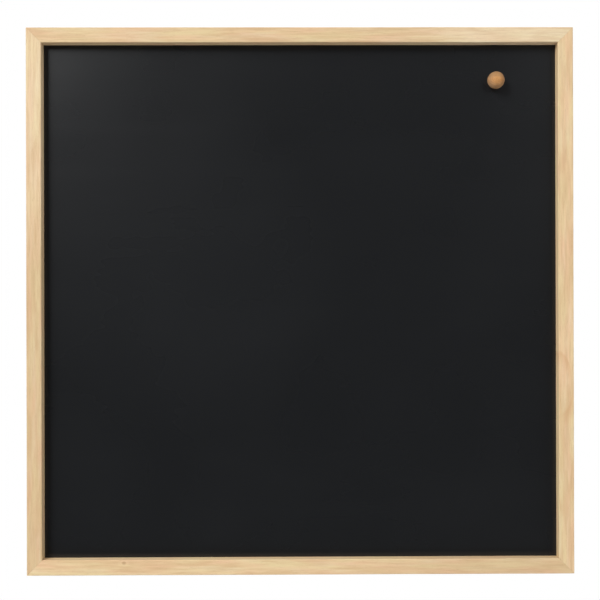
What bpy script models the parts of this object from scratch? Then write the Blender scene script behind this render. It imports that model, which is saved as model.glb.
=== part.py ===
"""Magnetic chalkboard in a mitred wooden frame, with one ball magnet, made to hang on a wall.

Metres, +Z up. The board faces -Y and the wall is the plane y = 0.
The origin is the middle of the board on that plane.
"""

import math

import bmesh
import bpy

# Wooden frame
FRAME_WIDTH = 0.530
FRAME_HEIGHT = 0.530
RAIL_FACE = 0.0148
LIP_DEPTH = 0.010
REBATE_WIDTH = 0.005
BACK_RECESS = 0.005
EDGE_RADIUS = 0.0009
GLUE_LINE = 0.00015

# Panel in the rebate
SHEET_THICKNESS = 0.0006
BACKING_THICKNESS = 0.003
PANEL_PLAY = 0.0008

# Framing points that hold the panel in
POINT_WIDTH = 0.006
POINT_THICKNESS = 0.0005
POINT_REACH = 0.008
POINT_BITE = 0.0055
POINT_TIP = 0.002
POINT_FROM_CORNER = 0.085

# Corner wedges across the mitres
WEDGE_LEG = 0.0042
WEDGE_THICKNESS = 0.0005
WEDGE_DEPTH = 0.007
WEDGE_FROM_REBATE = 0.0025
WEDGE_SINK = 0.0002

# Strap hangers and their rings
HANGER_BELOW_POINT = 0.025
STRAP_WIDTH = 0.0066
STRAP_THICKNESS = 0.0007
STRAP_FOOT = 0.0035
STRAP_CORNER = 0.0015
LOOP_SWEEP = math.radians(285)
RING_WIRE = 0.0016
RING_BEND = 0.0014
RING_LEG = 0.0044
RING_PLAY = 0.0002
RING_FROM_EDGE = 0.0003

# Screws through the straps
SCREW_LENGTH = 0.0095
SCREW_SHANK = 0.0024
SCREW_TIP = 0.0022
SCREW_HEAD = 0.0048
SCREW_HEAD_HEIGHT = 0.0014
RECESS_SPAN = 0.0028
RECESS_SLOT = 0.0006
RECESS_DEPTH = 0.0008
SCREW_GAP = 0.0027

# Pads between the frame and the wall
PAD_DIAMETER = 0.0085
PAD_HEIGHT = 0.0040
PAD_FROM_CORNER = 0.030
PAD_EDGE_RADIUS = 0.0008

# Ball magnet
BALL_DIAMETER = 0.0165
BALL_RIM = 0.0011
DISC_DIAMETER = 0.0070
DISC_THICKNESS = 0.0030
MAGNET_FROM_RIGHT = 0.0743
MAGNET_FROM_TOP = 0.0507

# Clearances
FIT = 0.0003
SLOT_FIT = 0.00015
OVERCUT = 0.001

# Facets and shading
ARC_STEPS = 4
BOW_STEPS = 16
LOOP_STEPS = 24
TURN_STEPS = 32
BALL_STEPS = 48
WIRE_STEPS = 2
SMOOTH_ANGLE = math.radians(40)
MERGE_STEP = 1e-6

# Section of the frame: the rebate is as deep as the panel, its points and the recess behind them
REBATE_DEPTH = FIT + SHEET_THICKNESS + FIT + BACKING_THICKNESS + FIT + POINT_THICKNESS + BACK_RECESS
RAIL_DEPTH = LIP_DEPTH + REBATE_DEPTH
BACK_LAND = RAIL_FACE - REBATE_WIDTH

# Planes from the wall forward
FRAME_BACK = -(PAD_HEIGHT + FIT)
FRAME_FRONT = FRAME_BACK - RAIL_DEPTH
LIP_BACK = FRAME_FRONT + LIP_DEPTH
SHEET_FRONT = LIP_BACK + FIT
BACKING_FRONT = SHEET_FRONT + SHEET_THICKNESS + FIT
POINT_FRONT = BACKING_FRONT + BACKING_THICKNESS + FIT
STRAP_BACK = FRAME_BACK + FIT

# Ring and loop: the loop turns round the wire, and the wire's bar is as long as the strap needs
LOOP_INNER = RING_WIRE / 2 + RING_PLAY
LOOP_OUTER = LOOP_INNER + STRAP_THICKNESS
RING_HALF = STRAP_WIDTH / 2 + RING_PLAY + RING_BEND
RING_AXIS_Y = STRAP_BACK + LOOP_OUTER
RING_AXIS_Z = FRAME_HEIGHT / 2 - POINT_FROM_CORNER - HANGER_BELOW_POINT
RING_END = RING_LEG + RING_HALF + RING_WIRE / 2
HANGER_INSET = RING_HALF + RING_WIRE / 2 + RING_FROM_EDGE
FIRST_SCREW = RING_END + FIT + SCREW_HEAD / 2
SECOND_SCREW = FIRST_SCREW + SCREW_HEAD + SCREW_GAP
STRAP_LENGTH = SECOND_SCREW + SCREW_HEAD / 2 + STRAP_FOOT

# Finishes: colour, roughness, metallic
FINISHES = {
    "pale_oak": ((0.66, 0.47, 0.28), 0.55, 0.0),
    "black_enamel": ((0.012, 0.013, 0.014), 0.48, 0.0),
    "hardboard": ((0.27, 0.15, 0.07), 0.80, 0.0),
    "zinc_steel": ((0.58, 0.59, 0.60), 0.35, 1.0),
    "nickel": ((0.70, 0.68, 0.65), 0.22, 1.0),
    "dark_rubber": ((0.030, 0.030, 0.032), 0.75, 0.0),
    "turned_beech": ((0.55, 0.30, 0.12), 0.45, 0.0),
}


def finish(name):
    """The named Principled material, made the first time it is asked for."""
    material = bpy.data.materials.get(name)
    if material:
        return material
    colour, roughness, metallic = FINISHES[name]
    material = bpy.data.materials.new(name)
    material.use_nodes = True
    shader = material.node_tree.nodes["Principled BSDF"]
    shader.inputs["Base Color"].default_value = (*colour, 1.0)
    shader.inputs["Roughness"].default_value = roughness
    shader.inputs["Metallic"].default_value = metallic
    return material


def add_object(name, data, place=(0, 0, 0), turn=(0, 0, 0), parent=None):
    """Puts a mesh, a curve or an empty into the scene."""
    thing = bpy.data.objects.new(name, data)
    thing.location = place
    thing.rotation_euler = turn
    thing.parent = parent
    bpy.context.collection.objects.link(thing)
    return thing


def add_solid(name, bm, material=None, place=(0, 0, 0), turn=(0, 0, 0), parent=None):
    """Closes off a bmesh as a named object with its faces pointing out; a cutter has no material."""
    bmesh.ops.recalc_face_normals(bm, faces=bm.faces)
    mesh = bpy.data.meshes.new(name)
    bm.to_mesh(mesh)
    bm.free()
    mesh.shade_smooth()
    mesh.set_sharp_from_angle(angle=SMOOTH_ANGLE)
    if material:
        mesh.materials.append(finish(material))
    return add_object(name, mesh, place, turn, parent)


def loft(front, back):
    """Solid between two outlines that have the same number of points."""
    bm = bmesh.new()
    rings = [[bm.verts.new(point) for point in ring] for ring in (front, back)]
    bm.faces.new(rings[0])
    bm.faces.new(rings[1])
    count = len(front)
    for i in range(count):
        j = (i + 1) % count
        bm.faces.new((rings[0][i], rings[0][j], rings[1][j], rings[1][i]))
    return bm


def plate(outline, near, far):
    """Flat piece: an outline of (x, z) points, carried along Y from near to far."""
    return loft([(x, near, z) for x, z in outline], [(x, far, z) for x, z in outline])


def turned(profile, steps):
    """Turned piece: a profile of (radius, height) points that starts and ends on the Y axis."""
    bm = bmesh.new()
    points = [bm.verts.new((radius, height, 0)) for radius, height in profile]
    edges = [bm.edges.new(pair) for pair in zip(points, points[1:])]
    bmesh.ops.spin(bm, geom=points + edges, cent=(0, 0, 0), axis=(0, 1, 0),
                   angle=2 * math.pi, steps=steps, use_merge=True)
    bmesh.ops.remove_doubles(bm, verts=bm.verts, dist=MERGE_STEP)
    return bm


def rectangle(width, height):
    """Corner points of a rectangle about the origin."""
    x, z = width / 2, height / 2
    return [(-x, -z), (x, -z), (x, z), (-x, z)]


def arc(centre, radius, start, sweep, steps):
    """Points along an arc, both ends included."""
    angles = [start + sweep * i / steps for i in range(steps + 1)]
    return [(centre[0] + radius * math.cos(a), centre[1] + radius * math.sin(a)) for a in angles]


def cut(target, cutter):
    """Takes the cutter out of the target and keeps it as a hidden guide."""
    cutter.hide_render = True
    cutter.display_type = "WIRE"
    modifier = target.modifiers.new(cutter.name, "BOOLEAN")
    modifier.object = cutter
    modifier.solver = "EXACT"


def drill(target, name, diameter, near, far, place, parent=None):
    """Round hole through the target along Y, from near to far about the place."""
    radius = diameter / 2
    hole = turned([(0, near), (radius, near), (radius, far), (0, far)], TURN_STEPS)
    cut(target, add_solid(name, hole, place=place, parent=parent))


def rail_section():
    """Section of a rail as (distance in from the outer edge, distance forward of the back)."""
    r = EDGE_RADIUS
    quarter = math.pi / 2
    section = arc((r, r), r, math.pi, quarter, ARC_STEPS)
    section += [(BACK_LAND, 0), (BACK_LAND, REBATE_DEPTH), (RAIL_FACE, REBATE_DEPTH)]
    section += arc((RAIL_FACE - r, RAIL_DEPTH - r), r, 0, quarter, ARC_STEPS)
    section += arc((r, RAIL_DEPTH - r), r, quarter, quarter, ARC_STEPS)
    return section


def rail(name, length, place, turn):
    """Frame member along its own X, outer edge at z = 0, both ends mitred for half a glue line."""
    def end(side):
        setback = GLUE_LINE / math.sqrt(2)
        return [(side * (length / 2 - inward - setback), -forward, -inward)
                for inward, forward in rail_section()]
    return add_solid(name, loft(end(-1), end(1)), "pale_oak", place, (0, turn, 0))


def frame_members():
    """The four mitred members: name to object, length and the turn about Y that faces it inward."""
    members = {
        "top_rail": (FRAME_WIDTH, (0, FRAME_BACK, FRAME_HEIGHT / 2), 0.0),
        "bottom_rail": (FRAME_WIDTH, (0, FRAME_BACK, -FRAME_HEIGHT / 2), math.pi),
        "left_stile": (FRAME_HEIGHT, (-FRAME_WIDTH / 2, FRAME_BACK, 0), -math.pi / 2),
        "right_stile": (FRAME_HEIGHT, (FRAME_WIDTH / 2, FRAME_BACK, 0), math.pi / 2),
    }
    return {name: rail(name, *where) for name, where in members.items()}


def wedge_outline(grow):
    """V across the mitre: its point on the origin faces +X and its legs open towards -X."""
    half = WEDGE_THICKNESS / 2 + grow
    leg = WEDGE_LEG + grow
    slant = math.sqrt(0.5)
    nose = half / slant
    near = slant * (leg - half)
    far = slant * (leg + half)
    return [(-near, far), (nose, 0), (-near, -far), (-far, -near), (-nose, 0), (-far, near)]


def corner_wedges(members):
    """One V-shaped steel wedge sunk into the back of each mitre, in a slot in both members."""
    inset = BACK_LAND - WEDGE_FROM_REBATE
    for rail_name, up in (("top_rail", 1), ("bottom_rail", -1)):
        for stile_name, right in (("left_stile", -1), ("right_stile", 1)):
            name = "corner_wedge_" + rail_name.split("_")[0] + "_" + stile_name.split("_")[0]
            place = (right * (FRAME_WIDTH / 2 - inset), FRAME_BACK, up * (FRAME_HEIGHT / 2 - inset))
            turn = (0, math.atan2(up, -right), 0)
            back = -WEDGE_SINK
            add_solid(name, plate(wedge_outline(0), back - WEDGE_DEPTH, back), "zinc_steel", place, turn)
            slot = plate(wedge_outline(SLOT_FIT), back - WEDGE_DEPTH - SLOT_FIT, OVERCUT)
            slot = add_solid(name + "_slot", slot, place=place, turn=turn)
            cut(members[rail_name], slot)
            cut(members[stile_name], slot)


def panel_size():
    """Width and height that drop into the rebate with a little play all round."""
    taken = 2 * (BACK_LAND + PANEL_PLAY)
    return FRAME_WIDTH - taken, FRAME_HEIGHT - taken


def chalkboard_sheet():
    """Steel sheet with a black chalkboard enamel, behind the lip of the frame."""
    sheet = plate(rectangle(*panel_size()), 0, SHEET_THICKNESS)
    add_solid("chalkboard_sheet", sheet, "black_enamel", (0, SHEET_FRONT, 0))


def backing_panel():
    """Hardboard that stiffens the sheet from behind."""
    panel = plate(rectangle(*panel_size()), 0, BACKING_THICKNESS)
    add_solid("backing_panel", panel, "hardboard", (0, BACKING_FRONT, 0))


def point_outline(grow):
    """Flat tab that crosses the rebate's wall at z = 0 and ends in a tip inside the wood, at +Z."""
    half = POINT_WIDTH / 2 + grow
    bite = POINT_BITE + grow
    return [(-half, -POINT_REACH), (half, -POINT_REACH), (half, bite - POINT_TIP), (0, bite),
            (-half, bite - POINT_TIP)]


def framing_points(members):
    """Three flat steel tabs to a member, which bite into its rebate and lie over the backing."""
    spots = {
        "top_rail": ("left", "middle", "right"),
        "bottom_rail": ("right", "middle", "left"),
        "left_stile": ("lower", "middle", "upper"),
        "right_stile": ("upper", "middle", "lower"),
    }
    for member_name, names in spots.items():
        member = members[member_name]
        side = member_name.split("_")[0]
        reach = (FRAME_HEIGHT if "stile" in member_name else FRAME_WIDTH) / 2 - POINT_FROM_CORNER
        for spot, along in zip(names, (-reach, 0, reach)):
            name = "framing_point_" + side + "_" + spot
            place = (along, POINT_FRONT - FRAME_BACK, -BACK_LAND)
            add_solid(name, plate(point_outline(0), 0, POINT_THICKNESS), "zinc_steel", place, parent=member)
            slot = plate(point_outline(SLOT_FIT), -SLOT_FIT, POINT_THICKNESS + SLOT_FIT)
            cut(member, add_solid(name + "_slot", slot, place=place, parent=member))


def strap_profile():
    """Side view of a strap as (towards the wall, up) about the ring's axis: a plate and a rolled loop."""
    wood = -LOOP_OUTER
    outer = arc((0, 0), LOOP_OUTER, math.pi, -LOOP_SWEEP, LOOP_STEPS)
    inner = arc((0, 0), LOOP_INNER, math.pi - LOOP_SWEEP, LOOP_SWEEP, LOOP_STEPS)
    return outer + inner + [(wood + STRAP_THICKNESS, -STRAP_LENGTH), (wood, -STRAP_LENGTH)]


def hanger_strap(name, parent):
    """Folded steel strap: the side view carried across its width, with a rounded foot."""
    half = STRAP_WIDTH / 2
    profile = strap_profile()
    bm = loft([(-half, y, z) for y, z in profile], [(half, y, z) for y, z in profile])
    foot = min(vert.co.z for vert in bm.verts)
    corners = [edge for edge in bm.edges
               if all(vert.co.z == foot for vert in edge.verts)
               and edge.verts[0].co.x == edge.verts[1].co.x]
    bmesh.ops.bevel(bm, geom=corners, offset=STRAP_CORNER, segments=ARC_STEPS, profile=0.5, affect="EDGES")
    return add_solid(name, bm, "zinc_steel", parent=parent)


def ring_path():
    """Centre line of a ring in its own (x, z): a bar on the X axis, two legs and a half-round end below."""
    bend_x = RING_HALF - RING_BEND
    right = arc((bend_x, -RING_BEND), RING_BEND, math.pi / 2, -math.pi / 2, ARC_STEPS)
    bow = arc((0, -RING_LEG), RING_HALF, 0, -math.pi, BOW_STEPS)
    left = arc((-bend_x, -RING_BEND), RING_BEND, math.pi, -math.pi / 2, ARC_STEPS)
    return right + bow + left


def hanger_ring(name, parent):
    """Closed ring of round wire, hanging down from its bar on the hanger's axis."""
    path = ring_path()
    curve = bpy.data.curves.new(name, "CURVE")
    curve.dimensions = "3D"
    curve.bevel_depth = RING_WIRE / 2
    curve.bevel_resolution = WIRE_STEPS
    spline = curve.splines.new("POLY")
    spline.points.add(len(path) - 1)
    for point, (x, z) in zip(spline.points, path):
        point.co = (x, 0, z, 1)
    spline.use_cyclic_u = True
    curve.materials.append(finish("zinc_steel"))
    add_object(name, curve, parent=parent)


def hanger_screw(name, place, parent):
    """Pan-head wood screw with a cross recess, head towards the wall and shank into the stile."""
    shank = SCREW_SHANK / 2
    head = SCREW_HEAD / 2
    rim = SCREW_HEAD_HEIGHT / 2
    profile = [(0, -SCREW_LENGTH), (shank, SCREW_TIP - SCREW_LENGTH), (shank, 0), (head, 0)]
    profile += [(head * across, rim + rim * up) for across, up in arc((0, 0), 1, 0, math.pi / 2, ARC_STEPS)]
    screw = add_solid(name, turned(profile, TURN_STEPS), "zinc_steel", place, parent=parent)
    floor = SCREW_HEAD_HEIGHT - RECESS_DEPTH
    for arm, size in (("across", (RECESS_SPAN, RECESS_SLOT)), ("upright", (RECESS_SLOT, RECESS_SPAN))):
        slot = plate(rectangle(*size), floor, SCREW_HEAD_HEIGHT + OVERCUT)
        cut(screw, add_solid(name + "_" + arm, slot, place=place, parent=parent))


def hanger(side, across, stile):
    """Strap hanger on the back of a stile: the strap, its ring and the two screws through it."""
    axis = add_object("hanger_axis_" + side, None, (across, RING_AXIS_Y, RING_AXIS_Z))
    strap = hanger_strap("hanger_strap_" + side, axis)
    hanger_ring("hanger_ring_" + side, axis)
    hole = SCREW_SHANK + 2 * FIT
    seat = STRAP_THICKNESS + FIT - LOOP_OUTER
    for spot, drop in (("upper", FIRST_SCREW), ("lower", SECOND_SCREW)):
        name = "hanger_screw_" + side + "_" + spot
        place = (0, seat, -drop)
        hanger_screw(name, place, axis)
        drill(strap, name + "_hole", hole, -STRAP_THICKNESS - OVERCUT, OVERCUT, place, axis)
        drill(stile, name + "_pilot", hole, -SCREW_LENGTH - FIT, 0, place, axis)


def hangers(members):
    """One hanger on each stile, just far enough in that its ring stays inside the frame's edge."""
    across = FRAME_WIDTH / 2 - HANGER_INSET
    hanger("left", -across, members["left_stile"])
    hanger("right", across, members["right_stile"])


def wall_pads():
    """Soft pads near the corners of the two rails, whose flat backs lie on the wall."""
    radius = PAD_DIAMETER / 2
    edge = PAD_EDGE_RADIUS
    profile = [(0, -PAD_HEIGHT), (radius, -PAD_HEIGHT)]
    profile += arc((radius - edge, -edge), edge, 0, math.pi / 2, ARC_STEPS)
    profile += [(0, 0)]
    along = FRAME_WIDTH / 2 - PAD_FROM_CORNER
    up = FRAME_HEIGHT / 2 - BACK_LAND / 2
    for row, z in (("top", up), ("bottom", -up)):
        for column, x in (("left", -along), ("right", along)):
            name = "wall_pad_" + row + "_" + column
            add_solid(name, turned(profile, TURN_STEPS), "dark_rubber", (x, 0, z))


def ball_magnet():
    """Turned wooden ball with a flat back, and the disc magnet let into it, both against the board."""
    radius = BALL_DIAMETER / 2
    pocket = DISC_DIAMETER / 2 + FIT
    flat = pocket + BALL_RIM
    start = math.asin(flat / radius)
    back = radius * math.cos(start)
    floor = -DISC_THICKNESS - FIT
    rounds = arc((-back, 0), radius, start, math.pi - start, BALL_STEPS // 2)
    profile = [(0, floor), (pocket, floor), (pocket, 0)] + [(out, along) for along, out in rounds]
    spot = add_object("magnet_spot", None, (FRAME_WIDTH / 2 - MAGNET_FROM_RIGHT, SHEET_FRONT - FIT,
                                            FRAME_HEIGHT / 2 - MAGNET_FROM_TOP))
    add_solid("magnet_ball", turned(profile, BALL_STEPS), "turned_beech", parent=spot)
    side = DISC_DIAMETER / 2
    disc = turned([(0, -DISC_THICKNESS), (side, -DISC_THICKNESS), (side, 0), (0, 0)], TURN_STEPS)
    add_solid("magnet_disc", disc, "nickel", parent=spot)


def build():
    """Models the whole board from its frame outward."""
    for thing in list(bpy.data.objects):
        bpy.data.objects.remove(thing, do_unlink=True)
    members = frame_members()
    corner_wedges(members)
    chalkboard_sheet()
    backing_panel()
    framing_points(members)
    hangers(members)
    wall_pads()
    ball_magnet()


build()
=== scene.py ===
import math

import bmesh
import bpy
import numpy as np
from mathutils import Matrix, Vector


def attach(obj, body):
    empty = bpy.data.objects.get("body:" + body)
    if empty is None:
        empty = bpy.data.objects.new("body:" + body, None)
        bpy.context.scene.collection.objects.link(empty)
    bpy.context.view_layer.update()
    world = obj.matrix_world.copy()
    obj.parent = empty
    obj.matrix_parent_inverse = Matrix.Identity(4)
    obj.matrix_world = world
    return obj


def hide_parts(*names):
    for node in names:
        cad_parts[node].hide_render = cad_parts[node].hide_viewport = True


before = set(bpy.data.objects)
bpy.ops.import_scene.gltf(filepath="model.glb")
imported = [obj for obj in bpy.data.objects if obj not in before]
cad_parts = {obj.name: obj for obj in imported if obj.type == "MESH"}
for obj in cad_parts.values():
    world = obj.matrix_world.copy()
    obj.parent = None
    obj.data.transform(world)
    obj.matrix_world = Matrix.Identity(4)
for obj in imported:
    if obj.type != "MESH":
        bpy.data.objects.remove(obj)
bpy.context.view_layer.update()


# Frame members: four lengths of pale, clear-oiled hardwood, planed to one section with a rebate
# behind the front lip, then mitred and glued into a square. Sanding has eased every arris, a
# little unevenly by hand.
OUTER = 0.265
FRAME_BACK = -0.0043
RAIL_FACE = 0.0148
RAIL_DEPTH = 0.0200
BACK_LAND = 0.0098
REBATE_DEPTH = 0.0100
OUTER_EASE = 0.0009
REBATE_EASE = 0.0003
HOLLOW_EASE = 0.0002
FLAT_MARGIN = 0.0003
GLUE_LINE = 0.00003
MITRE_EASE = 0.00005
MITRE_RUN = 0.0003
MITRE_SHARE = 0.0016
MITRE_STEPS = (0, 0.05, 0.12, 0.25, 0.5, 1.0)
LONG_STEPS = np.linspace(-0.99, 0.99, 150)
PITH_DEPTH = 0.055
RING_WIDTH = 0.0030
RING_WANDER = 0.0085
PALE_END_RUN = 0.10
GLUE_STAIN = 0.00040
# the two sines that an edge's ease wanders on: size, rate, and share of the member's own start
EASE_WANDER = ((0.12, 7.1, 1.0), (0.08, 19.3, 2.1))
# each member's way out from the middle, to the right and up, and where its edges' wander starts
MEMBERS = {
    "top_rail": (0, 1, 0.6),
    "right_stile": (1, 0, 2.3),
    "bottom_rail": (0, -1, 4.1),
    "left_stile": (-1, 0, 5.2),
}


class Value:
    """A shader socket. Sums, products and powers of it, also with numbers, become Math nodes."""

    def __init__(self, tree, socket):
        self.tree = tree
        self.socket = socket

    def node(self, kind, settings, sockets, out=0):
        """Any node: its settings first, then the values or links of its sockets."""
        node = self.tree.nodes.new(kind)
        for key, setting in settings.items():
            setattr(node, key, setting)
        for key, value in sockets.items():
            if isinstance(value, Value):
                self.tree.links.new(value.socket, node.inputs[key])
            else:
                node.inputs[key].default_value = value
        return Value(self.tree, node.outputs[out])

    def math(self, operation, first, second=0.0, clamp=False):
        settings = {"operation": operation, "use_clamp": clamp}
        return self.node("ShaderNodeMath", settings, {0: first, 1: second})

    def __add__(self, other):
        return self.math("ADD", self, other)

    def __sub__(self, other):
        return self.math("SUBTRACT", self, other)

    def __mul__(self, other):
        return self.math("MULTIPLY", self, other)

    def __truediv__(self, other):
        return self.math("DIVIDE", self, other)

    def __pow__(self, other):
        return self.math("POWER", self, other)

    def __rsub__(self, other):
        return self.math("SUBTRACT", other, self)

    def __rtruediv__(self, other):
        return self.math("DIVIDE", other, self)

    def __neg__(self):
        return self.math("MULTIPLY", self, -1.0)

    def __abs__(self):
        return self.math("ABSOLUTE", self)

    __radd__ = __add__
    __rmul__ = __mul__

    def sine(self):
        return self.math("SINE", self)

    def clip(self):
        """The value held between 0 and 1."""
        return self.math("ADD", self, 0.0, clamp=True)

    def stretched(self, factors):
        """A place with each of its coordinates multiplied by its own factor."""
        settings = {"operation": "MULTIPLY"}
        return self.node("ShaderNodeVectorMath", settings, {0: self, 1: factors})

    def split(self):
        """The three coordinates of a place."""
        parts = self.node("ShaderNodeSeparateXYZ", {}, {0: self})
        return [Value(self.tree, socket) for socket in parts.socket.node.outputs]

    def noise(self, factors, detail=2.0, roughness=0.5, distortion=0.0):
        """Cloudy noise from 0 to 1 about 0.5, with as many lumps to the metre as a factor says."""
        return self.node("ShaderNodeTexNoise", {}, {
            "Vector": self.stretched(factors), "Scale": 1.0, "Detail": detail,
            "Roughness": roughness, "Distortion": distortion})

    def blend(self, first, second):
        """The first colour where the value is 0, the second where it is 1."""
        return self.node("ShaderNodeMix", {"data_type": "RGBA"}, {
            0: self, 6: first if isinstance(first, Value) else (*first, 1.0),
            7: second if isinstance(second, Value) else (*second, 1.0)}, out=2)

    def bump(self, strength, depth):
        """Surface normal bent by the value as a height, of the given depth in metres."""
        sockets = {"Strength": strength, "Distance": depth, "Height": self}
        return self.node("ShaderNodeBump", {}, sockets)

    def feed(self, **values):
        """Links values to the finish's shader: its colour, roughness or normal."""
        names = {"colour": "Base Color", "roughness": "Roughness", "normal": "Normal"}
        shader = self.tree.nodes["Principled BSDF"]
        for key, value in values.items():
            self.tree.links.new(value.socket, shader.inputs[names[key]])


def finish(name, **constants):
    """New finish: its material with constant sockets set, and the place on the piece as a Value."""
    material = bpy.data.materials.new(name)
    material.use_nodes = True
    shader = material.node_tree.nodes["Principled BSDF"]
    for key, value in constants.items():
        socket = key.replace("_", " ").title().replace("Ior", "IOR")
        shader.inputs[socket].default_value = value
    coordinates = material.node_tree.nodes.new("ShaderNodeTexCoord")
    return material, Value(material.node_tree, coordinates.outputs["Object"])


SAME_POINT = 1e-7


def skin(name, rings, material, joined=False, smooth=35):
    """Mesh through rings of points, an array (rings, points, 3): each quad joins two neighbours
    on two rings. The ends are closed by a face each, or shrink to a point, or the last ring is
    joined to the first. Faces that meet at more than the smooth angle keep a sharp edge."""
    count, around = rings.shape[:2]
    index = np.arange(count * around).reshape(count, around)
    near = index if joined else index[:-1]
    far = np.roll(index, -1, axis=0) if joined else index[1:]
    quads = np.stack([near, np.roll(near, -1, axis=1), np.roll(far, -1, axis=1), far], axis=-1)
    faces = quads.reshape(-1, 4).tolist()
    if not joined:
        faces += [end.tolist() for end, ring in ((index[0], rings[0]), (index[-1], rings[-1]))
                  if np.ptp(ring, axis=0).max() > SAME_POINT]
    mesh = bpy.data.meshes.new(name)
    mesh.from_pydata(rings.reshape(-1, 3), [], faces)
    bm = bmesh.new()
    bm.from_mesh(mesh)
    bmesh.ops.remove_doubles(bm, verts=bm.verts, dist=SAME_POINT)
    bmesh.ops.recalc_face_normals(bm, faces=bm.faces)
    bm.to_mesh(mesh)
    bm.free()
    mesh.shade_smooth()
    mesh.set_sharp_from_angle(angle=math.radians(smooth))
    mesh.materials.append(material)
    piece = bpy.data.objects.new(name, mesh)
    bpy.context.collection.objects.link(piece)
    return piece


def stand_in(piece, body, slot, *nodes):
    """Lets a piece move with its body and stand for its nodes. The slot is not used."""
    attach(piece, body)
    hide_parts(*nodes)


def rail_section(steps=8):
    """Corner, rounding and outward direction of every section point, as (inward, forward) from
    the outer back edge. A corner eased by r is drawn by: corner + r (direction - both face
    normals), reversed where it is hollow. One more point on each side, a margin out on the face,
    keeps the face flat up to the ease."""
    inward, forward, ease, start, turn = np.array([
        (0, 0, OUTER_EASE, 180, 1),
        (BACK_LAND, 0, REBATE_EASE, -90, 1),
        (BACK_LAND, REBATE_DEPTH, HOLLOW_EASE, 0, -1),
        (RAIL_FACE, REBATE_DEPTH, REBATE_EASE, -90, 1),
        (RAIL_FACE, RAIL_DEPTH, OUTER_EASE, 0, 1),
        (0, RAIL_DEPTH, OUTER_EASE, 90, 1),
    ]).T
    angle = np.radians(start[:, None] + turn[:, None] * np.linspace(0, 90, steps))
    angle = angle[:, [0, *range(steps), steps - 1]]
    direction = np.stack([np.cos(angle), np.sin(angle)], axis=-1)
    normals = direction[:, 0] + direction[:, -1]
    corner = np.stack([inward, forward], axis=-1)[:, None] + 0 * direction
    corner[:, 0] -= FLAT_MARGIN * turn[:, None] * direction[:, -1]
    corner[:, -1] -= FLAT_MARGIN * turn[:, None] * direction[:, 0]
    rounding = turn[:, None, None] * ease[:, None, None] * (direction - normals[:, None])
    return [part.reshape(-1, 2) for part in (corner, rounding, direction)]


def rail_surface(right, up, phase):
    """Section carried along a member: at t from -1 to 1 each point lies t times its own half
    length along, so the ends come out mitred. The ease wanders by a fifth along t on two sines,
    and over the mitre's run at each end the section falls away by the mitre's ease."""
    corner, rounding, direction = rail_section()
    end = np.array(MITRE_STEPS) * MITRE_SHARE
    t = np.concatenate([end - 1, LONG_STEPS, 1 - end[::-1]])[:, None, None]
    sines = [size * np.sin(rate * t + share * phase) for size, rate, share in EASE_WANDER]
    wander = 1 + sum(sines)
    fall = MITRE_EASE * np.clip(1 - (1 - abs(t)) * OUTER / MITRE_RUN, 0, 1) ** 2
    section = corner + wander * rounding - fall * direction
    inward, forward = section[..., 0], section[..., 1]
    along = t[..., 0] * (OUTER - GLUE_LINE / math.sqrt(2) - inward)
    across = OUTER - inward
    x, z = right * across + up * along, up * across - right * along
    return np.stack([x, FRAME_BACK - forward, z], axis=-1)


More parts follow.
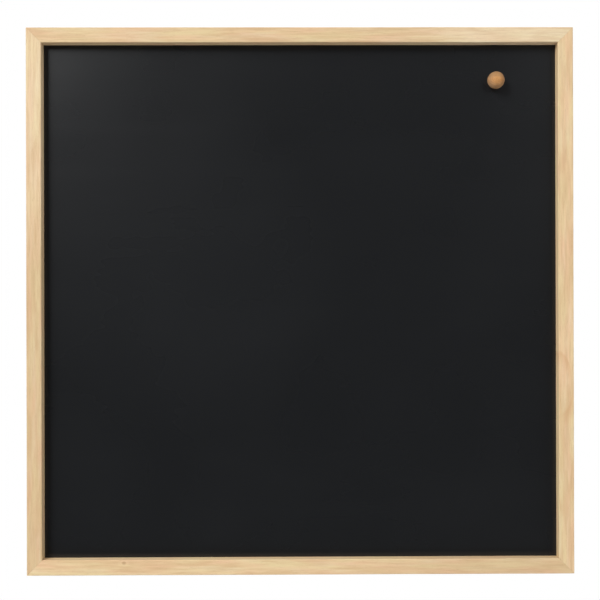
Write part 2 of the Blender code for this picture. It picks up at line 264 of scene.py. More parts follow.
def pale_wood(name, turn, shift, pale_end, shade, swirl=None):
    """Pale oiled wood, sawn flat from one log with its grain along the member: growth rings about
    a pith far behind the face, which wander and so show as long patches, pink and yellow tones,
    streaks, fibres and pores. Pale end (place, way, amount): past the place along the member the
    wood is paler by the amount. Shade is a painted shade that darkens the member by an amount
    given for each member, less towards its pale end. Swirl (x, z, half width, half height, bend,
    heart, rim): the rings bow round a place whose heart is darker, as is the wood just below its
    edge, which is inside it at the top and outside it on the right of the foot."""
    material, place = finish(name, specular_ior_level=0.30)
    sockets = {0: place, "Rotation": (0, turn, 0), "Location": shift}
    grain = place.node("ShaderNodeMapping", {}, sockets)
    x, _, z = place.split()
    along, depth, face = grain.split()
    pale_end_place, pale_end_way, pale_end_amount = pale_end
    # Mask of the member's paler end, where its painted shade is also weaker.
    end = (((along - shift[0] - pale_end_place) * pale_end_way / PALE_END_RUN) + 0.5).clip()
    wander = grain.noise((13, 85, 85), detail=3.0, roughness=0.55)
    radius = ((depth - PITH_DEPTH) ** 2.0 + face ** 2.0) ** 0.5 + wander * RING_WANDER
    if swirl:
        mid_x, mid_z, half_width, half_height, bend, heart_amount, rim_amount = swirl
        gap = ((x - mid_x) / half_width) ** 2.0 + ((z - mid_z) / half_height) ** 2.0
        radius = radius + bend / (1.0 + gap * 0.3)
    ring = ((radius * (2 * math.pi / RING_WIDTH)).sine() * 0.5 + 0.5) ** 1.7
    patch = ((grain.noise((17, 120, 120), detail=2.0) - 0.36) * 3.4).clip()
    pale = ((grain.noise((24, 190, 190), detail=2.0) - 0.50) * 4.0).clip()
    dark_band = ((grain.noise((38, 640, 640), detail=3.0, roughness=0.6) - 0.42) * 3.6).clip()
    fibre = grain.noise((70, 2600, 2600), detail=3.0, roughness=0.65)
    pore = ((grain.noise((260, 5200, 5200), detail=1.0) - 0.66) * 9.0).clip()
    glue = (1.0 - abs(abs(x) - abs(z)) / GLUE_STAIN).clip()
    colour = patch.blend((0.806, 0.652, 0.371), (0.822, 0.566, 0.347))
    colour = (pale * 0.40 + end * pale_end_amount).blend(colour, (0.845, 0.715, 0.505))
    colour = (ring * 0.40).blend(colour, (0.640, 0.425, 0.225))
    colour = (dark_band * 0.46).blend(colour, (0.600, 0.385, 0.205))
    colour = ((fibre - 0.3) * 0.34).clip().blend(colour, (0.540, 0.335, 0.175))
    colour = (pore * 0.45).blend(colour, (0.330, 0.190, 0.090))
    # Painted shade: the member darkened by its own amount, less at its pale end.
    colour = ((1.0 - end * 0.7) * shade).blend(colour, (0.300, 0.170, 0.080))
    colour = (glue * 0.18).blend(colour, (0.330, 0.200, 0.100))
    if swirl:
        out = gap ** 0.5 + (wander - 0.5) * 0.5 - 1.0
        above = (z - mid_z) / (half_height * 0.60)
        aside = (x - mid_x) / (half_width * 0.60)
        inside = (-out / 0.10).clip() * (1.0 + out / 0.60).clip() * above.clip()
        outside = (out / 0.10).clip() * (1.0 - out / 0.60).clip() * (-above).clip() * aside.clip()
        centre_spot = (1.25 - gap).clip()
        colour = (centre_spot * heart_amount).blend(colour, (0.340, 0.185, 0.078))
        colour = ((inside + outside) * rim_amount).blend(colour, (0.620, 0.350, 0.170))
    relief = fibre * 0.6 + ring * 0.25 - pore * 1.2
    place.feed(colour=colour, roughness=0.50 + fibre * 0.16 - ring * 0.05,
               normal=relief.bump(0.25, 0.00012))
    return material


CENTRE = OUTER - RAIL_FACE / 2
UPRIGHT = math.pi / 2
# Each member: how its grain is turned and shifted, its pale end and its painted shade.
WOODS = {
    "top_rail": pale_wood(
        "pale_wood_top", turn=0, shift=(4.01, 0.0, 0.004 - CENTRE),
        pale_end=(0.12, 1, 0.60), shade=0.155),
    "right_stile": pale_wood(
        "pale_wood_right", turn=UPRIGHT, shift=(1.68, 0.0, CENTRE - 0.003),
        pale_end=(-0.10, 1, 0.0), shade=0.047,
        swirl=(0.2515, -0.0780, 0.0116, 0.0290, 0.0030, 0.0, 0.55)),
    "bottom_rail": pale_wood(
        "pale_wood_bottom", turn=0, shift=(5.12, 0.0, CENTRE + 0.002),
        pale_end=(0.10, -1, 0.0), shade=0.185,
        swirl=(-0.1712, -0.2529, 0.0022, 0.0016, 0.0025, 0.50, 0.35)),
    "left_stile": pale_wood(
        "pale_wood_left", turn=UPRIGHT, shift=(16.59, 0.0, -0.0012 - CENTRE),
        pale_end=(0.08, 1, 0.30), shade=0.228),
}
for node, (right, up, phase) in MEMBERS.items():
    member = skin("wood_" + node, rail_surface(right, up, phase), WOODS[node])
    stand_in(member, "board", "frame_wood", node)


# Corner wedges: V-shaped strips of hard zinc-plated steel, pressed into the back of each mitre
# with their point towards the panel, so that both members are held across the joint. Only their
# back edges show.
WEDGE_LEG = 0.0042
WEDGE_THICKNESS = 0.0005
WEDGE_BEND = 0.0006
WEDGE_DEPTH = 0.0070
WEDGE_INSET = 0.0073
WEDGE_PROUD = 0.00004
WEDGE_EDGE = 0.00008


def rounded(corners, radius, steps=4):
    """Outline with its corners rounded: between two points a radius back from a corner P it
    follows the curve (1-t)^2 A + 2t(1-t) P + t^2 B."""
    corners = np.asarray(corners, float)
    radius = np.broadcast_to(radius, len(corners))[:, None]
    back = np.roll(corners, 1, axis=0) - corners
    on = np.roll(corners, -1, axis=0) - corners
    start = corners + radius * back / np.linalg.norm(back, axis=1, keepdims=True)
    end = corners + radius * on / np.linalg.norm(on, axis=1, keepdims=True)
    t = np.linspace(0, 1, steps)[None, :, None]
    bend = 2 * t * (1 - t) * corners[:, None]
    curve = (1 - t) ** 2 * start[:, None] + bend + t ** 2 * end[:, None]
    return curve.reshape(-1, 2)


def sideways(ahead):
    """Unit vectors that point to the right of the given directions in their plane."""
    across = np.stack([ahead[:, 1], -ahead[:, 0]], axis=-1)
    return across / np.linalg.norm(ahead, axis=1, keepdims=True)


def vee_rings(right, up):
    """Flat section, rounded at its edges, carried in along one leg of the V, round its point on
    the curve (1-t)^2 A + 2t(1-t) P + t^2 B, and out along the other leg."""
    leg = np.linspace(WEDGE_LEG, WEDGE_BEND, 8)
    t = np.linspace(0, 1, 9)[1:-1]
    path = np.stack([np.concatenate([leg, WEDGE_BEND * (1 - t) ** 2, 0 * leg]),
                     np.concatenate([0 * leg, WEDGE_BEND * t ** 2, leg[::-1]])], axis=-1)
    side = sideways(np.gradient(path, axis=0))
    half, front, back = WEDGE_THICKNESS / 2, FRAME_BACK - WEDGE_DEPTH, FRAME_BACK + WEDGE_PROUD
    corners = [(-half, front), (half, front), (half, back), (-half, back)]
    section = rounded(corners, WEDGE_EDGE)
    flat = OUTER - WEDGE_INSET + path[:, None] + section[None, :, :1] * side[:, None]
    deep = section[:, 1] + 0 * flat[..., 0]
    return np.stack([right * flat[..., 0], deep, up * flat[..., 1]], axis=-1)


def zinc_steel(name, lumps=900.0):
    """Bright zinc plate on steel: cool and straw tints in soft patches, fine rolling marks and a
    duller bloom."""
    material, place = finish(name, metallic=1.0, specular_ior_level=0.5)
    tint = ((place.noise((lumps, lumps, lumps), detail=2.0) - 0.35) * 3.0).clip()
    wide = lumps * 0.4
    bloom = ((place.noise((wide, wide, wide), detail=3.0) - 0.4) * 3.5).clip()
    mark = place.noise((9000, 700, 700), detail=2.0)
    colour = tint.blend((0.640, 0.650, 0.665), (0.610, 0.585, 0.520))
    colour = (bloom * 0.35).blend(colour, (0.430, 0.440, 0.455))
    place.feed(colour=colour, roughness=0.28 + bloom * 0.16 + mark * 0.08,
               normal=mark.bump(0.12, 0.00003))
    return material


PLATED = zinc_steel("zinc_plated_strip")
for row, up in (("top", 1), ("bottom", -1)):
    for column, right in (("left", -1), ("right", 1)):
        name = "corner_wedge_" + row + "_" + column
        wedge = skin("plated_" + name, vee_rings(right, up), PLATED)
        stand_in(wedge, "board", "zinc_steel", name)


# Chalkboard sheet: thin steel sheet, sprayed and baked with black chalkboard enamel, so chalk
# bites on it and magnets hold. It lies behind the frame's lip, flat but for the faint pull of its
# own spring.
SHEET_HALF = 0.2544
SHEET_FRONT = -0.0140
SHEET_THICKNESS = 0.0006
SHEET_SPRING = 0.00005
# Place and reach of a painted sheen: a paler patch on the sheet, left of the middle.
SHEEN_LEFT = 0.115
SHEEN_UP = 0.030
SHEEN_REACH = 0.16


def sheet_surface(count=97):
    """Front of the sheet on a grid: y = front - bulge, where the bulge is two slow waves across
    each other, at most twice the spring, that die away to nothing at the edges."""
    across = np.linspace(-1, 1, count)
    u, v = np.meshgrid(across, across, indexing="ij")
    calm = (1 - u ** 4) * (1 - v ** 4)
    waves = 1 + 0.6 * np.sin(4.1 * u + 1.3 * v) + 0.4 * np.cos(5.3 * v - 2.2 * u)
    bulge = SHEET_SPRING * calm * waves
    return np.stack([SHEET_HALF * u, SHEET_FRONT - bulge, SHEET_HALF * v], axis=-1)


def sheet_mesh(name, grid, material, thickness):
    """Mesh of one surface on a grid, facing -Y, given its thickness backwards by Solidify."""
    rows, columns = grid.shape[:2]
    index = np.arange(rows * columns).reshape(rows, columns)
    quads = np.stack([index[:-1, :-1], index[1:, :-1], index[1:, 1:], index[:-1, 1:]], axis=-1)
    mesh = bpy.data.meshes.new(name)
    mesh.from_pydata(grid.reshape(-1, 3), [], quads.reshape(-1, 4).tolist())
    mesh.shade_smooth()
    mesh.materials.append(material)
    piece = bpy.data.objects.new(name, mesh)
    bpy.context.collection.objects.link(piece)
    wall = piece.modifiers.new("gauge", "SOLIDIFY")
    wall.thickness = thickness
    wall.offset = -1.0
    return piece


def chalkboard_enamel(name):
    """Satin black enamel: a fine orange peel, clouds left by spraying, a trace of wiped chalk dust,
    and a painted sheen: a paler patch left of the middle."""
    material, place = finish(name, specular_ior_level=0.36)
    x, _, z = place.split()
    cloud = place.noise((9, 9, 9), detail=3.0)
    wipe = ((place.noise((4, 4, 26), detail=2.0, distortion=0.9) - 0.45) * 2.5).clip()
    peel = place.noise((900, 900, 900), detail=2.0)
    tooth = place.noise((5200, 5200, 5200), detail=1.0)
    # Painted sheen: a paler patch left of the middle, fading out at its reach.
    sheen_x = (x + SHEEN_LEFT) / SHEEN_REACH
    sheen_z = (z - SHEEN_UP) / SHEEN_REACH
    painted_sheen = (1.0 - sheen_x ** 2.0 - sheen_z ** 2.0).clip()
    colour = cloud.blend((0.0080, 0.0087, 0.0098), (0.0100, 0.0107, 0.0119))
    colour = (wipe * 0.05 + painted_sheen * 0.22).blend(colour, (0.0200, 0.0212, 0.0228))
    place.feed(colour=colour, roughness=0.25 + cloud * 0.05 + wipe * 0.012,
               normal=(peel * 0.7 + tooth * 0.3).bump(0.05, 0.00005))
    return material


ENAMEL = chalkboard_enamel("black_chalkboard_enamel")
sheet = sheet_mesh("black_chalkboard_sheet", sheet_surface(), ENAMEL, SHEET_THICKNESS)
stand_in(sheet, "board", "chalkboard_enamel", "chalkboard_sheet")


# Backing panel: 3 mm hardboard, hot-pressed wood fibre with the press screen's weave on its rough
# side, which faces the wall. It is glued to the sheet and stiffens it.
BACKING_FRONT = -0.0131
BACKING_BACK = -0.0101
BACKING_CORNER = 0.0015
BACKING_EASE = 0.0003
WEAVE = 0.0016


def slab_rings(outline, near, far, ease, steps=4):
    """Flat piece: an outline of (x, z) points carried along Y from near to far. Over the first
    and last ease of the way it draws in by that much on a quarter circle, so its edges are
    rounded."""
    outward = sideways(np.roll(outline, -1, axis=0) - np.roll(outline, 1, axis=0))
    swing = np.linspace(0, np.pi / 2, steps)
    inset = ease * np.concatenate([1 - np.sin(swing), 1 - np.cos(swing)])
    depth = np.concatenate([near + ease * (1 - np.cos(swing)), far - ease * (1 - np.sin(swing))])
    flat = outline[None] - inset[:, None, None] * outward[None]
    return np.stack([flat[..., 0], 0 * flat[..., 0] + depth[:, None], flat[..., 1]], axis=-1)


def hardboard(name):
    """Brown pressed fibre: dark and pale flecks, soft clouds, and the screen's crossed weave as
    relief."""
    material, place = finish(name, specular_ior_level=0.25)
    x, _, z = place.split()
    turn = 2 * math.pi / WEAVE
    cloud = place.noise((14, 14, 14), detail=3.0)
    fleck = ((place.noise((1500, 1500, 420), detail=3.0, roughness=0.65) - 0.42) * 3.0).clip()
    pale = ((place.noise((420, 1500, 1900), detail=2.0) - 0.60) * 6.0).clip()
    weave = (x * turn).sine() * (z * turn).sine() * 0.5 + 0.5
    colour = cloud.blend((0.215, 0.112, 0.050), (0.275, 0.150, 0.070))
    colour = (fleck * 0.55).blend(colour, (0.125, 0.062, 0.028))
    colour = (pale * 0.50).blend(colour, (0.430, 0.270, 0.140))
    colour = ((1.0 - weave) * 0.22).blend(colour, (0.110, 0.055, 0.026))
    place.feed(colour=colour, roughness=0.72 + fleck * 0.14,
               normal=(weave * 0.7 + fleck * 0.5).bump(0.55, 0.00018))
    return material


square = np.array([(-1, -1), (1, -1), (1, 1), (-1, 1)]) * SHEET_HALF
panel = rounded(square, BACKING_CORNER)
backing = skin("hardboard_backing", slab_rings(panel, BACKING_FRONT, BACKING_BACK, BACKING_EASE),
               hardboard("brown_hardboard"))
stand_in(backing, "board", "hardboard", "backing_panel")


# Framing points: flat tabs stamped from thin plated steel, driven into the rebate's wall with a
# point gun, three to a member. Their blunt ends lie over the backing and keep it in.
POINT_FRONT = -0.0098
POINT_THICKNESS = 0.0005
POINT_HALF = 0.0030
POINT_REACH = 0.0080
POINT_SHOULDER = 0.0035
POINT_BITE = 0.0055
POINT_BLUNT = 0.0011
POINT_SHARP = 0.0003
POINT_EASE = 0.00012
POINT_AT = 0.180
SPOTS = {
    "top": (0, 1, ("left", "middle", "right")),
    "right": (1, 0, ("upper", "middle", "lower")),
    "bottom": (0, -1, ("right", "middle", "left")),
    "left": (-1, 0, ("lower", "middle", "upper")),
}
tab_corners = [(-POINT_HALF, -POINT_REACH), (POINT_HALF, -POINT_REACH),
               (POINT_HALF, POINT_SHOULDER), (0.0, POINT_BITE), (-POINT_HALF, POINT_SHOULDER)]
tab = rounded(tab_corners, [POINT_BLUNT] * 2 + [POINT_SHARP] * 3, steps=6)
for side, (right, up, names) in SPOTS.items():
    for word, along in zip(names, (-POINT_AT, 0, POINT_AT)):
        out, run = tab[:, 1] + OUTER - BACK_LAND, tab[:, 0] + along
        lie = np.stack([right * out + up * run, up * out - right * run], axis=-1)
        rings = slab_rings(lie, POINT_FRONT, POINT_FRONT + POINT_THICKNESS, POINT_EASE)
        name = "framing_point_" + side + "_" + word
        stand_in(skin("plated_" + name, rings, PLATED), "board", "zinc_steel", name)


# Hanger straps: strips of plated steel with a rounded foot, folded over at the top into an eye
# that holds the ring. Each lies on the back of a stile, under two screws.
HANGER_X = 0.2590
AXIS_Y = -0.0023
AXIS_Z = 0.1550
STRAP_WIDTH = 0.0066
STRAP_THICKNESS = 0.0007
STRAP_LENGTH = 0.0262
STRAP_EDGE = 0.00018
FOOT_RADIUS = 0.0024
EYE_RADIUS = 0.00135
EYE_SWEEP = 285


def strap_rings(x):
    """Flat section, rounded at its edges, carried up the plate and then round the eye's axis by
    its sweep. Near the foot its half width follows a quarter circle."""
    foot = FOOT_RADIUS * (1 - np.cos(np.linspace(0, np.pi / 2, 12)))
    straight = np.concatenate([foot, np.linspace(FOOT_RADIUS, STRAP_LENGTH, 12)[1:]])
    swing = np.radians(np.linspace(0, EYE_SWEEP, 48))[1:]
    y = np.concatenate([0 * straight - EYE_RADIUS, -EYE_RADIUS * np.cos(swing)])
    z = np.concatenate([straight - STRAP_LENGTH, EYE_RADIUS * np.sin(swing)])
    out_y = np.concatenate([0 * straight - 1, -np.cos(swing)])
    out_z = np.concatenate([0 * straight, np.sin(swing)])
    gap = np.clip(1 - np.concatenate([straight, 0 * swing + 1]) / FOOT_RADIUS, 0, 1)
    half = STRAP_WIDTH / 2 - FOOT_RADIUS * (1 - np.sqrt(1 - gap ** 2))
    t = STRAP_THICKNESS / 2
    edge = rounded([(-1, -t), (1, -t), (1, t), (-1, t)], STRAP_EDGE)
    across = np.sign(edge[:, 0])[None] * (half[:, None] - (1 - abs(edge[:, 0]))[None])
    through = edge[:, 1][None]
    return np.stack([x + across, AXIS_Y + y[:, None] + through * out_y[:, None],
                     AXIS_Z + z[:, None] + through * out_z[:, None]], axis=-1)


for side, x in (("left", -HANGER_X), ("right", HANGER_X)):
    strap = skin("plated_hanger_strap_" + side, strap_rings(x), PLATED, smooth=50)
    stand_in(strap, "board", "zinc_steel", "hanger_strap_" + side)


# Hanger rings: round steel wire bent to a D and plated, with the straight bar running through the
# strap's eye, so the ring swings. A wall hook goes through the bow.
WIRE_RADIUS = 0.0008
RING_HALF = 0.0049
RING_BEND = 0.0014
RING_LEG = 0.0044


def wire_rings(x, around=20):
    """Circle of the wire carried along a closed path: a bend, a leg, the bow's half circle, the
    other leg and bend, and the bar. The normal in the path's plane comes from the neighbours on
    both sides."""
    quarter = np.linspace(0, np.pi / 2, 9)
    bow = np.linspace(0, np.pi, 41)
    reach = RING_HALF - RING_BEND
    right = np.stack([reach + RING_BEND * np.sin(quarter), RING_BEND * (np.cos(quarter) - 1)],
                     axis=-1)
    low = np.stack([RING_HALF * np.cos(bow), -RING_LEG - RING_HALF * np.sin(bow)], axis=-1)
    left = right[::-1] * (-1, 1)
    bar = np.stack([np.linspace(-reach, reach, 9)[1:-1], np.zeros(7)], axis=-1)
    path = np.concatenate([right, low, left, bar])
    side = sideways(np.roll(path, -1, axis=0) - np.roll(path, 1, axis=0))
    angle = np.linspace(0, 2 * np.pi, around, endpoint=False)
    flat = path[:, None] + WIRE_RADIUS * np.cos(angle)[None, :, None] * side[:, None]
    deep = AXIS_Y + WIRE_RADIUS * np.sin(angle)[None] + 0 * flat[..., 0]
    return np.stack([x + flat[..., 0], deep, AXIS_Z + flat[..., 1]], axis=-1)


WIRE = zinc_steel("zinc_plated_wire", lumps=600.0)
for side, x in (("left", -HANGER_X), ("right", HANGER_X)):
    ring = skin("plated_hanger_ring_" + side, wire_rings(x), WIRE, joined=True)
    stand_in(ring, "ring_" + side, "zinc_steel", "hanger_ring_" + side)


# Hanger screws: small pan-head wood screws with a rolled thread and a pressed cross recess,
# plated, driven through the strap into the stile.
SCREW_SEAT = -0.0030
SCREW_DROPS = {"upper": 0.0128, "lower": 0.0203}
SCREW_LEADS = (0.35, 1.05)
SCREW_TIP = -0.0095
SHANK_ENDS = (-0.0094, -0.0006)
SHANK_RADIUS = 0.00082
TAPER_LENGTH = 0.0026
THREAD_PITCH = 0.0011
THREAD_HEIGHT = 0.00036
THREAD_SLOPE = 2.6
HEAD_RADIUS = 0.0024
HEAD_RIM = 0.0007
HEAD_DOME = 0.0007
UNDER_HEAD = [(0.0010, -0.0004), (0.0011, 0.0), (0.0022, 0.0), (HEAD_RADIUS, 0.00012)]
RECESS_HALF = 0.00034
RECESS_REACH = 0.0014
RECESS_DEPTH = 0.0008
RECESS_SIDE = 0.00012
RECESS_END = 0.0005


def screw_rings(x, z, lead, steps=72):
    """Turned screw: a tip, a shank whose radius rises to the thread's crest where height/pitch
    minus angle/turn is whole, a flat under the head, and a dome from which a cross of soft-edged
    bars, turned by the lead, is pressed."""
    angle = np.linspace(0, 2 * np.pi, steps, endpoint=False)[None]
    shank = np.linspace(*SHANK_ENDS, 80)[:, None]
    taper = np.clip((shank - SCREW_TIP) / TAPER_LENGTH, 0, 1)
    crest = abs((shank / THREAD_PITCH - angle / (2 * np.pi)) % 1 - 0.5) * 2
    rise = np.clip(crest * THREAD_SLOPE - (THREAD_SLOPE - 1), 0, 1)
    thread = taper * (SHANK_RADIUS + THREAD_HEIGHT * rise)
    under = np.array(UNDER_HEAD)
    dome = np.linspace(0, np.pi / 2, 26)[:, None]
    radius = np.concatenate([0 * angle, thread, under[:, :1] + 0 * angle,
                             HEAD_RADIUS * np.cos(dome) + 0 * angle])
    height = np.concatenate([SCREW_TIP + 0 * angle, shank + 0 * angle, under[:, 1:] + 0 * angle,
                             HEAD_RIM + HEAD_DOME * np.sin(dome) + 0 * angle])
    across, upright = radius * np.cos(angle + lead), radius * np.sin(angle + lead)
    bars = [np.clip((RECESS_HALF - abs(a)) / RECESS_SIDE + 0.5, 0, 1)
            * np.clip((RECESS_REACH - abs(b)) / RECESS_END + 0.5, 0, 1)
            for a, b in ((across, upright), (upright, across))]
    height -= RECESS_DEPTH * np.maximum(*bars) * (height > HEAD_RIM)
    return np.stack([x + radius * np.cos(angle), SCREW_SEAT + height,
                     z + radius * np.sin(angle)], axis=-1)


for side, x in (("left", -HANGER_X), ("right", HANGER_X)):
    for (word, drop), lead in zip(SCREW_DROPS.items(), SCREW_LEADS):
        name = "hanger_screw_" + side + "_" + word
        screw = skin("plated_" + name, screw_rings(x, AXIS_Z - drop, lead + x), WIRE, smooth=40)
        stand_in(screw, "board", "zinc_steel", name)


# Wall pads: moulded pads of dark rubber glued to the back near the corners. They keep the board
# parallel to the wall and stop it from sliding or marking the paint.
PAD_X = 0.2350
PAD_Z = 0.2601
PAD_RADIUS = 0.00425
PAD_HEIGHT = 0.0040
PAD_FOOT = 0.0002
PAD_ROUND = 0.0008
PAD_DIMPLE = [(0.0016, 0), (0.0013, -0.00008), (0.0011, -0.00030), (0.0006, -0.00042),
              (0, -0.00045)]


def turned_rings(radius, height, place, steps):
    """Profile turned about an axis along Y: each (radius, height) point becomes a circle about
    the place."""
    angle = np.linspace(0, 2 * np.pi, steps, endpoint=False)
    radius, height = np.asarray(radius, float)[:, None], np.asarray(height, float)[:, None]
    return np.stack([place[0] + radius * np.cos(angle), place[1] + height + 0 * angle,
                     place[2] + radius * np.sin(angle)], axis=-1)


def dark_rubber(name):
    """Matt moulded rubber: a fine grain from the mould, and a grey bloom on part of it."""
    material, place = finish(name, specular_ior_level=0.30)
    bloom = ((place.noise((420, 420, 420), detail=3.0) - 0.42) * 3.0).clip()
    grain = place.noise((5200, 5200, 5200), detail=2.0)
    colour = bloom.blend((0.0140, 0.0140, 0.0150), (0.0300, 0.0300, 0.0310))
    place.feed(colour=colour, roughness=0.62 + bloom * 0.16, normal=grain.bump(0.30, 0.00006))
    return material


RUBBER = dark_rubber("dark_rubber")
swing = np.linspace(0, np.pi / 2, 10)
dimple_radius, dimple_height = np.array(PAD_DIMPLE).T
pad_radius = np.concatenate([[0, PAD_RADIUS - PAD_FOOT, PAD_RADIUS],
                             PAD_RADIUS - PAD_ROUND + PAD_ROUND * np.cos(swing), dimple_radius])
pad_height = np.concatenate([[-PAD_HEIGHT, -PAD_HEIGHT, -PAD_HEIGHT + PAD_FOOT],
                             -PAD_ROUND + PAD_ROUND * np.sin(swing), dimple_height])
for row, z in (("top", PAD_Z), ("bottom", -PAD_Z)):
    for column, x in (("left", -PAD_X), ("right", PAD_X)):
        name = "wall_pad_" + row + "_" + column
        pad = skin("rubber_" + name, turned_rings(pad_radius, pad_height, (x, 0, z), 48), RUBBER)
        stand_in(pad, "board", "pad_rubber", name)


# Ball magnet: a ball turned from close-grained brown wood and oiled, with a flat turned on its
# back and a pocket bored there for the disc magnet.
BALL_X = 0.1907
BALL_Z = 0.2143
BALL_BACK = -0.0143
BALL_RADIUS = 0.00825
BALL_FLAT = 0.0049
BALL_EASE = 0.00015
EASE_TURN = 0.03
BALL_RING = 0.0015
BALL_WANDER = 0.0016
GRAIN_START = 0.0409
PITH_LEFT = 0.0009
PITH_UP = 0.0006
# Where a painted highlight, a paler spot on the ball, lies: left of and below its middle.
LIT_SPOT_LEFT = 0.0006
LIT_SPOT_DOWN = 0.0026
POCKET_RADIUS = 0.0038
POCKET_DEPTH = 0.0033
POCKET_EASE = 0.0001
BALL_AT = (BALL_X, BALL_BACK, BALL_Z)


def brown_wood(name):
    """Oiled brown wood with its end grain to the front: close growth rings about a line just off
    the ball's middle, mottled with paler and redder spots, and pores along the grain. Towards
    the ball's edge it is greyer side grain, there also darkened as painted shade. A painted
    shade darkens its top, and a painted highlight, a paler spot, lies a little below its middle."""
    material, place = finish(name, ior=1.36, specular_ior_level=0.2)
    sockets = {0: place, "Location": (-BALL_X, GRAIN_START, -BALL_Z)}
    grain = place.node("ShaderNodeMapping", {}, sockets)
    x, _, z = grain.split()
    wander = grain.noise((150, 60, 150), detail=3.0)
    pith_gap = ((x + PITH_LEFT) ** 2.0 + (z - PITH_UP) ** 2.0) ** 0.5
    radius = pith_gap + wander * BALL_WANDER
    ring = ((radius * (2 * math.pi / BALL_RING)).sine() * 0.5 + 0.5) ** 2.2
    mottle = ((grain.noise((260, 90, 260), detail=3.0, roughness=0.6) - 0.36) * 3.2).clip()
    fleck = ((grain.noise((1400, 340, 1400), detail=1.0) - 0.58) * 7.0).clip()
    fibre = grain.noise((2600, 240, 2600), detail=3.0, roughness=0.6)
    pore = ((grain.noise((3600, 500, 3600), detail=1.0) - 0.64) * 8.0).clip()
    # Greyer side grain towards the ball's edge, which also darkens it there as painted shade.
    side_grain_and_shade = (((x ** 2.0 + z ** 2.0) ** 0.5 / BALL_RADIUS - 0.50) * 2.4).clip()
    # Painted shade: the upper part of the ball darkened.
    dark_band = ((z / BALL_RADIUS - 0.06 + (wander - 0.5) * 0.4) * 3.0).clip()
    # Painted highlight: a paler spot a little below and left of the ball's middle.
    lit_spot_gap = ((x + LIT_SPOT_LEFT) ** 2.0 + (z + LIT_SPOT_DOWN) ** 2.0) ** 0.5
    centre_spot = (1.0 - lit_spot_gap / (BALL_RADIUS * 0.6)).clip()
    colour = mottle.blend((0.480, 0.204, 0.060), (0.665, 0.345, 0.130))
    colour = (side_grain_and_shade * 0.70).blend(colour, (0.345, 0.230, 0.143))
    colour = (ring * 0.60).blend(colour, (0.330, 0.150, 0.050))
    colour = (dark_band * 0.60).blend(colour, (0.250, 0.140, 0.066))
    colour = (centre_spot * 0.28).blend(colour, (0.760, 0.450, 0.200))
    colour = (fleck * 0.17).blend(colour, (0.760, 0.500, 0.270))
    colour = ((fibre - 0.35) * 0.5).clip().blend(colour, (0.580, 0.340, 0.150))
    colour = (pore * 0.50).blend(colour, (0.220, 0.100, 0.038))
    place.feed(colour=colour, roughness=0.41 + mottle * 0.08 + pore * 0.2,
               normal=(fibre * 0.5 - pore).bump(0.16, 0.00010))
    return material


start = math.asin(BALL_FLAT / BALL_RADIUS)
sweep = np.linspace(start + EASE_TURN, np.pi, 72)
ball_radius = np.concatenate([
    [0, POCKET_RADIUS, POCKET_RADIUS, POCKET_RADIUS + POCKET_EASE, BALL_FLAT - BALL_EASE],
    BALL_RADIUS * np.sin(sweep)])
ball_height = np.concatenate([
    [-POCKET_DEPTH, -POCKET_DEPTH, -POCKET_EASE, 0, 0],
    BALL_RADIUS * (np.cos(sweep) - math.cos(start))])
ball_radius[-1] = 0.0
ball = skin("wooden_magnet_ball", turned_rings(ball_radius, ball_height, BALL_AT, 112),
            brown_wood("oiled_brown_wood"))
stand_in(ball, "magnet", "ball_wood", "magnet_ball")


# Disc magnet: a small disc pressed from magnet powder, its rims rounded by tumbling, then plated
# with nickel. It is glued into the ball's pocket, flush with the flat.
DISC_RADIUS = 0.0035
DISC_THICKNESS = 0.0030
DISC_RIM = 0.00025


def bright_nickel(name):
    """Bright nickel with a warm cast, faint tumbling marks and a few duller specks."""
    material, place = finish(name, metallic=1.0, specular_ior_level=0.5)
    cloud = place.noise((700, 700, 700), detail=3.0)
    speck = ((place.noise((4200, 4200, 4200), detail=1.0) - 0.66) * 8.0).clip()
    colour = cloud.blend((0.700, 0.670, 0.615), (0.760, 0.735, 0.690))
    colour = (speck * 0.4).blend(colour, (0.380, 0.360, 0.330))
    place.feed(colour=colour, roughness=0.14 + cloud * 0.10 + speck * 0.2,
               normal=cloud.bump(0.05, 0.00005))
    return material


rim_in = np.array([DISC_RIM, DISC_RIM * 0.3, 0])
disc_radius = [0, *(DISC_RADIUS - rim_in), *(DISC_RADIUS - rim_in[::-1]), 0]
disc_height = [-DISC_THICKNESS, *(rim_in[::-1] - DISC_THICKNESS), *-rim_in, 0]
disc = skin("nickel_magnet_disc", turned_rings(disc_radius, disc_height, BALL_AT, 64),
            bright_nickel("bright_nickel"))
stand_in(disc, "magnet", "nickel", "magnet_disc")


# Studio: a pale floor well below the hung board, a soft key light high on the left in front, one
# beside it for the sheet's sheen, a weak fill on the right and a weaker light behind. The
# surroundings are white, but dark round the camera, which stands square to the board.
CAMERA_AT = (-0.00607, -0.9151, 0.00014)
CAMERA_YAW, CAMERA_PITCH, CAMERA_ROLL = np.radians((0.3600, 0.0452, -0.1403))
CAMERA_LENS = 55.24
SENSOR_WIDTH = 36.0
FLOOR_DROP = 1.20
FLOOR_HALF = 2.5
FLOOR_NEAR = -1.6
FLOOR_FAR = 2.6
WHITE = (1, 1, 1, 1)
AMBIENT = 0.60
AMBIENT_UP = 0.16
AMBIENT_RIGHT = 0.40
DARK_FROM = 0.35
DARK_OVER = 0.45
DARK_AMOUNT = 0.88
# each light's place, the side of its square in metres and its power in watts
LIGHTS = {
    "key": ((-2.88, -2.98, 2.80), 2.2, 142.0),
    "sheen": ((-2.49, -3.69, 2.27), 1.6, 96.0),
    "fill": ((2.42, -2.66, 1.62), 2.4, 25.0),
    "behind": ((1.1, 1.6, 1.2), 1.4, 12.0),
}

scene = bpy.context.scene
scene.view_settings.view_transform = "Standard"
scene.view_settings.look = "None"

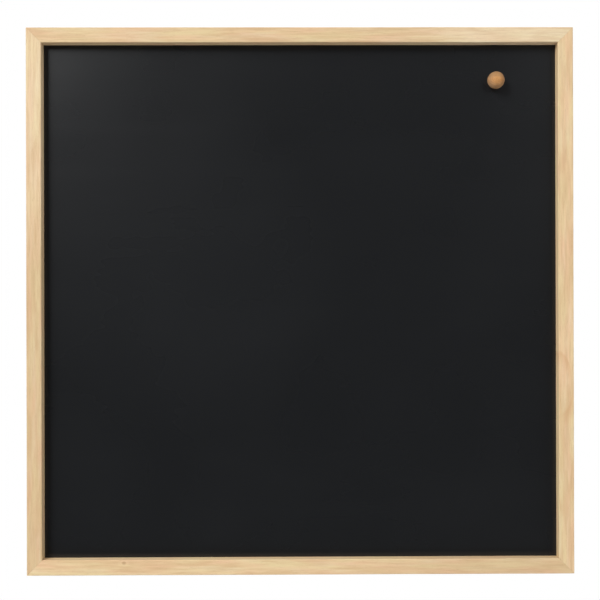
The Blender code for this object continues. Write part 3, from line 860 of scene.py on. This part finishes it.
ahead = Vector((math.sin(CAMERA_YAW) * math.cos(CAMERA_PITCH),
                math.cos(CAMERA_YAW) * math.cos(CAMERA_PITCH), math.sin(CAMERA_PITCH)))
level = Vector((math.cos(CAMERA_YAW), -math.sin(CAMERA_YAW), 0))
upright = level.cross(ahead)
right_axis = level * math.cos(CAMERA_ROLL) + upright * math.sin(CAMERA_ROLL)
up_axis = upright * math.cos(CAMERA_ROLL) - level * math.sin(CAMERA_ROLL)
facing = Matrix((right_axis, up_axis, -ahead)).transposed().to_4x4()
lens = bpy.data.cameras.new("camera")
lens.lens = CAMERA_LENS
lens.sensor_width = SENSOR_WIDTH
lens.clip_start = 0.01
camera = bpy.data.objects.new("camera", lens)
camera.matrix_world = Matrix.Translation(CAMERA_AT) @ facing
bpy.context.collection.objects.link(camera)
scene.camera = camera

for name, (place, size, power) in LIGHTS.items():
    lamp = bpy.data.lights.new(name, "AREA")
    lamp.size = size
    lamp.energy = power
    light = bpy.data.objects.new(name, lamp)
    facing = (-Vector(place)).to_track_quat("-Z", "Y").to_matrix().to_4x4()
    light.matrix_world = Matrix.Translation(place) @ facing
    bpy.context.collection.objects.link(light)

world = bpy.data.worlds.new("studio")
world.use_nodes = True
scene.world = world
tree = world.node_tree
tree.nodes.clear()
direction = Value(tree, tree.nodes.new("ShaderNodeTexCoord").outputs["Generated"])
wx, wy, wz = direction.split()
dark = ((-wy - DARK_FROM) / DARK_OVER).clip()
ambient = (AMBIENT + wz * AMBIENT_UP + wx * AMBIENT_RIGHT) * (1.0 - dark * DARK_AMOUNT)
glow = direction.node("ShaderNodeBackground", {}, {"Color": WHITE, "Strength": ambient})
white = direction.node("ShaderNodeBackground", {}, {"Color": WHITE, "Strength": 1.0})
seen = direction.node("ShaderNodeLightPath", {}, {})
mixed = direction.node("ShaderNodeMixShader", {}, {0: seen, 1: glow, 2: white})
tree.links.new(mixed.socket, tree.nodes.new("ShaderNodeOutputWorld").inputs["Surface"])

floor_material, floor_place = finish("pale_floor", specular_ior_level=0.1)
floor_cloud = floor_place.noise((2, 2, 2), detail=2.0)
floor_colour = floor_cloud.blend((0.74, 0.74, 0.74), (0.78, 0.78, 0.78))
floor_place.feed(colour=floor_colour, roughness=0.7 + floor_cloud * 0.1)
floor_mesh = bpy.data.meshes.new("floor")
floor_corners = [(-FLOOR_HALF, FLOOR_NEAR, -FLOOR_DROP), (FLOOR_HALF, FLOOR_NEAR, -FLOOR_DROP),
                 (FLOOR_HALF, FLOOR_FAR, -FLOOR_DROP), (-FLOOR_HALF, FLOOR_FAR, -FLOOR_DROP)]
floor_mesh.from_pydata(floor_corners, [], [(0, 1, 2, 3)])
floor_mesh.materials.append(floor_material)
floor = bpy.data.objects.new("floor", floor_mesh)
bpy.context.collection.objects.link(floor)
